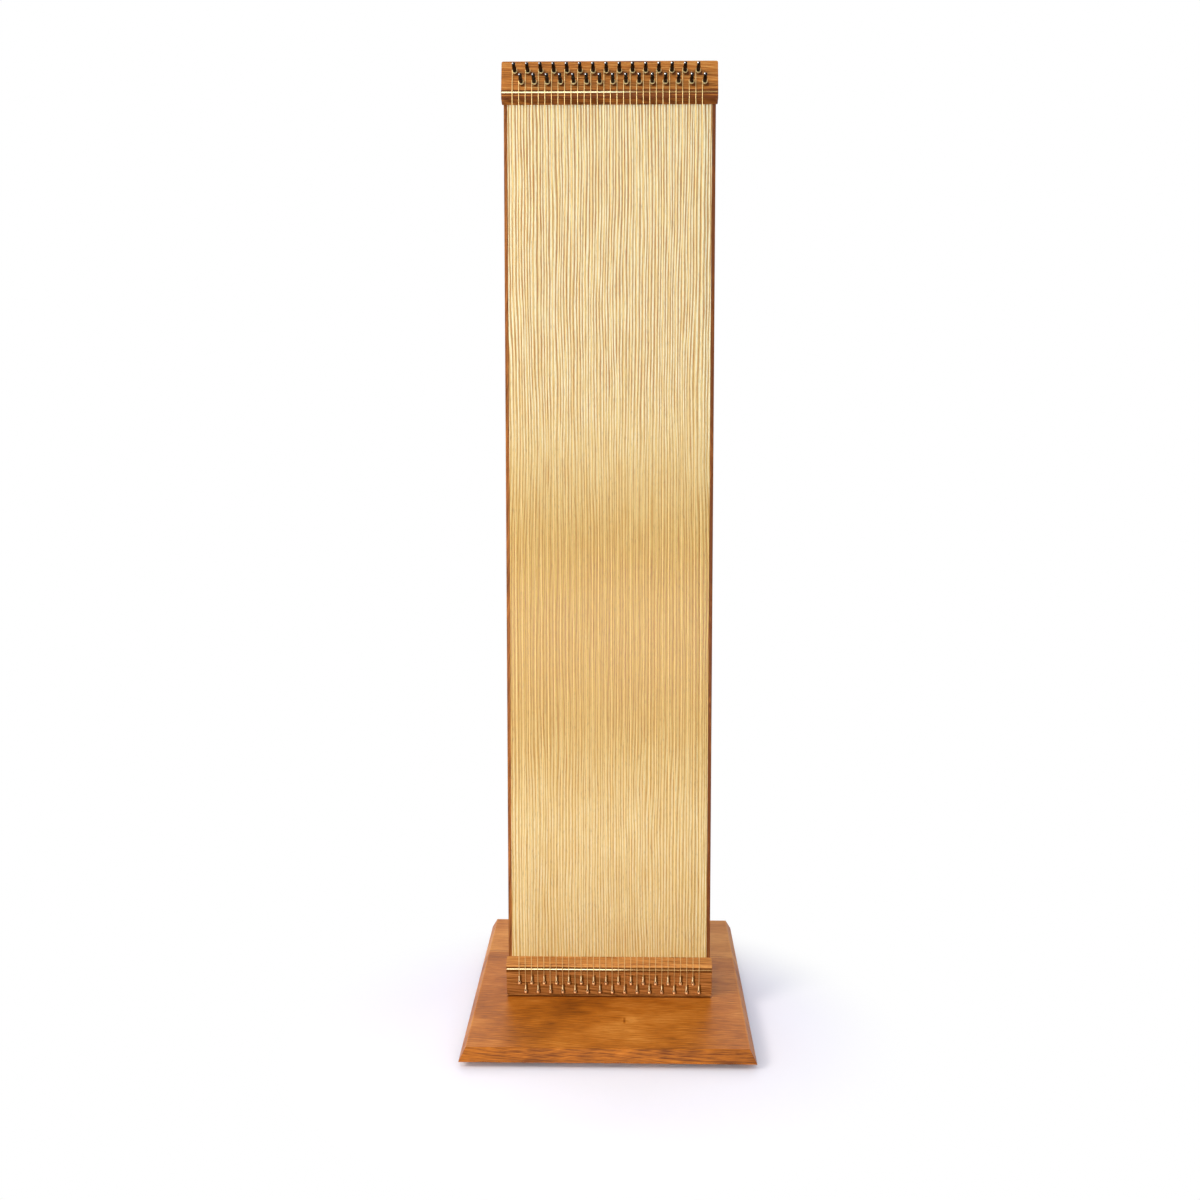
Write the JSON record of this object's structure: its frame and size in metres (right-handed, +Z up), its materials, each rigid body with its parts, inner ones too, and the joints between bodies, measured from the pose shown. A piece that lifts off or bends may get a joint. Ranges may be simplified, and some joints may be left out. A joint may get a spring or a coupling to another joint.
{
  "type": "standing monochord",
  "caption": "Free-standing monochord: a tall wooden sound box on a bevelled plate, with parallel strings from tuning pins at the top to hitch pins at the bottom.",
  "frame": {"origin": "on the floor, under the middle of the base plate", "axes": "+Z up along the sound box; the soundboard and strings face -Y; +X to the right as seen from the front"},
  "size_m": [0.3556, 0.4396, 1.207],
  "materials": {
    "cherry": "oiled cherry, satin",
    "ash": "oiled ash, matt",
    "beech": "planed beech, unfinished",
    "spruce": "planed spruce, unfinished",
    "brass": "polished brass rod",
    "bronze_wire": "drawn bronze music wire",
    "copper_pin": "coppered steel pin, bright",
    "blued_steel": "blued steel, satin black",
    "zinc_steel": "zinc-plated steel screw",
    "rubber": "moulded rubber, matt"
  },
  "bodies": {
    "frame": {"base_front_board": "cherry", "base_rear_board": "cherry", "base_feet": "rubber", "foot_screws": "zinc_steel", "column_screws": "zinc_steel", "soundboard": "ash", "back_panel": "ash", "left_side": "cherry", "right_side": "cherry", "top_cap": "cherry", "top_pin_block": "beech", "bottom_end_block": "beech", "front_linings": "spruce", "back_linings": "spruce", "soundboard_braces": "spruce", "back_braces": "spruce", "top_pin_rail": "cherry", "bottom_pin_rail": "cherry", "top_bridge_rod": "brass", "bottom_bridge_rod": "brass", "upper_row_strings": "bronze_wire", "lower_row_strings": "bronze_wire", "upper_hitch_pins": "copper_pin", "lower_hitch_pins": "copper_pin"},
    "tuning_pin_01": {"tuning_pin_01": "blued_steel"},
    "tuning_pin_02": {"tuning_pin_02": "blued_steel"},
    "tuning_pin_03": {"tuning_pin_03": "blued_steel"},
    "tuning_pin_04": {"tuning_pin_04": "blued_steel"},
    "tuning_pin_05": {"tuning_pin_05": "blued_steel"},
    "tuning_pin_06": {"tuning_pin_06": "blued_steel"},
    "tuning_pin_07": {"tuning_pin_07": "blued_steel"},
    "tuning_pin_08": {"tuning_pin_08": "blued_steel"},
    "tuning_pin_09": {"tuning_pin_09": "blued_steel"},
    "tuning_pin_10": {"tuning_pin_10": "blued_steel"},
    "tuning_pin_11": {"tuning_pin_11": "blued_steel"},
    "tuning_pin_12": {"tuning_pin_12": "blued_steel"},
    "tuning_pin_13": {"tuning_pin_13": "blued_steel"},
    "tuning_pin_14": {"tuning_pin_14": "blued_steel"},
    "tuning_pin_15": {"tuning_pin_15": "blued_steel"},
    "tuning_pin_16": {"tuning_pin_16": "blued_steel"},
    "tuning_pin_17": {"tuning_pin_17": "blued_steel"},
    "tuning_pin_18": {"tuning_pin_18": "blued_steel"},
    "tuning_pin_19": {"tuning_pin_19": "blued_steel"},
    "tuning_pin_20": {"tuning_pin_20": "blued_steel"},
    "tuning_pin_21": {"tuning_pin_21": "blued_steel"},
    "tuning_pin_22": {"tuning_pin_22": "blued_steel"},
    "tuning_pin_23": {"tuning_pin_23": "blued_steel"},
    "tuning_pin_24": {"tuning_pin_24": "blued_steel"},
    "tuning_pin_25": {"tuning_pin_25": "blued_steel"},
    "tuning_pin_26": {"tuning_pin_26": "blued_steel"},
    "tuning_pin_27": {"tuning_pin_27": "blued_steel"},
    "tuning_pin_28": {"tuning_pin_28": "blued_steel"},
    "tuning_pin_29": {"tuning_pin_29": "blued_steel"},
    "tuning_pin_30": {"tuning_pin_30": "blued_steel"}
  },
  "joints": [
    {"name": "tuning_pin_01_turn", "type": "hinge", "parent": "frame", "child": "tuning_pin_01", "pos_m": [-0.116, -0.06608, 1.1934], "axis": [0, -0.9688, 0.248], "range_deg": [-40, 330]},
    {"name": "tuning_pin_02_turn", "type": "hinge", "parent": "frame", "child": "tuning_pin_02", "pos_m": [-0.108, -0.06961, 1.1796], "axis": [0, -0.9688, 0.248], "range_deg": [-40, 330]},
    {"name": "tuning_pin_03_turn", "type": "hinge", "parent": "frame", "child": "tuning_pin_03", "pos_m": [-0.1, -0.06608, 1.1934], "axis": [0, -0.9688, 0.248], "range_deg": [-40, 330]},
    {"name": "tuning_pin_04_turn", "type": "hinge", "parent": "frame", "child": "tuning_pin_04", "pos_m": [-0.092, -0.06961, 1.1796], "axis": [0, -0.9688, 0.248], "range_deg": [-40, 330]},
    {"name": "tuning_pin_05_turn", "type": "hinge", "parent": "frame", "child": "tuning_pin_05", "pos_m": [-0.084, -0.06608, 1.1934], "axis": [0, -0.9688, 0.248], "range_deg": [-40, 330]},
    {"name": "tuning_pin_06_turn", "type": "hinge", "parent": "frame", "child": "tuning_pin_06", "pos_m": [-0.076, -0.06961, 1.1796], "axis": [0, -0.9688, 0.248], "range_deg": [-40, 330]},
    {"name": "tuning_pin_07_turn", "type": "hinge", "parent": "frame", "child": "tuning_pin_07", "pos_m": [-0.068, -0.06608, 1.1934], "axis": [0, -0.9688, 0.248], "range_deg": [-40, 330]},
    {"name": "tuning_pin_08_turn", "type": "hinge", "parent": "frame", "child": "tuning_pin_08", "pos_m": [-0.06, -0.06961, 1.1796], "axis": [0, -0.9688, 0.248], "range_deg": [-40, 330]},
    {"name": "tuning_pin_09_turn", "type": "hinge", "parent": "frame", "child": "tuning_pin_09", "pos_m": [-0.052, -0.06608, 1.1934], "axis": [0, -0.9688, 0.248], "range_deg": [-40, 330]},
    {"name": "tuning_pin_10_turn", "type": "hinge", "parent": "frame", "child": "tuning_pin_10", "pos_m": [-0.044, -0.06961, 1.1796], "axis": [0, -0.9688, 0.248], "range_deg": [-40, 330]},
    {"name": "tuning_pin_11_turn", "type": "hinge", "parent": "frame", "child": "tuning_pin_11", "pos_m": [-0.036, -0.06608, 1.1934], "axis": [0, -0.9688, 0.248], "range_deg": [-40, 330]},
    {"name": "tuning_pin_12_turn", "type": "hinge", "parent": "frame", "child": "tuning_pin_12", "pos_m": [-0.028, -0.06961, 1.1796], "axis": [0, -0.9688, 0.248], "range_deg": [-40, 330]},
    {"name": "tuning_pin_13_turn", "type": "hinge", "parent": "frame", "child": "tuning_pin_13", "pos_m": [-0.02, -0.06608, 1.1934], "axis": [0, -0.9688, 0.248], "range_deg": [-40, 330]},
    {"name": "tuning_pin_14_turn", "type": "hinge", "parent": "frame", "child": "tuning_pin_14", "pos_m": [-0.012, -0.06961, 1.1796], "axis": [0, -0.9688, 0.248], "range_deg": [-40, 330]},
    {"name": "tuning_pin_15_turn", "type": "hinge", "parent": "frame", "child": "tuning_pin_15", "pos_m": [-0.004, -0.06608, 1.1934], "axis": [0, -0.9688, 0.248], "range_deg": [-40, 330]},
    {"name": "tuning_pin_16_turn", "type": "hinge", "parent": "frame", "child": "tuning_pin_16", "pos_m": [0.004, -0.06961, 1.1796], "axis": [0, -0.9688, 0.248], "range_deg": [-40, 330]},
    {"name": "tuning_pin_17_turn", "type": "hinge", "parent": "frame", "child": "tuning_pin_17", "pos_m": [0.012, -0.06608, 1.1934], "axis": [0, -0.9688, 0.248], "range_deg": [-40, 330]},
    {"name": "tuning_pin_18_turn", "type": "hinge", "parent": "frame", "child": "tuning_pin_18", "pos_m": [0.02, -0.06961, 1.1796], "axis": [0, -0.9688, 0.248], "range_deg": [-40, 330]},
    {"name": "tuning_pin_19_turn", "type": "hinge", "parent": "frame", "child": "tuning_pin_19", "pos_m": [0.028, -0.06608, 1.1934], "axis": [0, -0.9688, 0.248], "range_deg": [-40, 330]},
    {"name": "tuning_pin_20_turn", "type": "hinge", "parent": "frame", "child": "tuning_pin_20", "pos_m": [0.036, -0.06961, 1.1796], "axis": [0, -0.9688, 0.248], "range_deg": [-40, 330]},
    {"name": "tuning_pin_21_turn", "type": "hinge", "parent": "frame", "child": "tuning_pin_21", "pos_m": [0.044, -0.06608, 1.1934], "axis": [0, -0.9688, 0.248], "range_deg": [-40, 330]},
    {"name": "tuning_pin_22_turn", "type": "hinge", "parent": "frame", "child": "tuning_pin_22", "pos_m": [0.052, -0.06961, 1.1796], "axis": [0, -0.9688, 0.248], "range_deg": [-40, 330]},
    {"name": "tuning_pin_23_turn", "type": "hinge", "parent": "frame", "child": "tuning_pin_23", "pos_m": [0.06, -0.06608, 1.1934], "axis": [0, -0.9688, 0.248], "range_deg": [-40, 330]},
    {"name": "tuning_pin_24_turn", "type": "hinge", "parent": "frame", "child": "tuning_pin_24", "pos_m": [0.068, -0.06961, 1.1796], "axis": [0, -0.9688, 0.248], "range_deg": [-40, 330]},
    {"name": "tuning_pin_25_turn", "type": "hinge", "parent": "frame", "child": "tuning_pin_25", "pos_m": [0.076, -0.06608, 1.1934], "axis": [0, -0.9688, 0.248], "range_deg": [-40, 330]},
    {"name": "tuning_pin_26_turn", "type": "hinge", "parent": "frame", "child": "tuning_pin_26", "pos_m": [0.084, -0.06961, 1.1796], "axis": [0, -0.9688, 0.248], "range_deg": [-40, 330]},
    {"name": "tuning_pin_27_turn", "type": "hinge", "parent": "frame", "child": "tuning_pin_27", "pos_m": [0.092, -0.06608, 1.1934], "axis": [0, -0.9688, 0.248], "range_deg": [-40, 330]},
    {"name": "tuning_pin_28_turn", "type": "hinge", "parent": "frame", "child": "tuning_pin_28", "pos_m": [0.1, -0.06961, 1.1796], "axis": [0, -0.9688, 0.248], "range_deg": [-40, 330]},
    {"name": "tuning_pin_29_turn", "type": "hinge", "parent": "frame", "child": "tuning_pin_29", "pos_m": [0.108, -0.06608, 1.1934], "axis": [0, -0.9688, 0.248], "range_deg": [-40, 330]},
    {"name": "tuning_pin_30_turn", "type": "hinge", "parent": "frame", "child": "tuning_pin_30", "pos_m": [0.116, -0.06961, 1.1796], "axis": [0, -0.9688, 0.248], "range_deg": [-40, 330]}
  ]
}
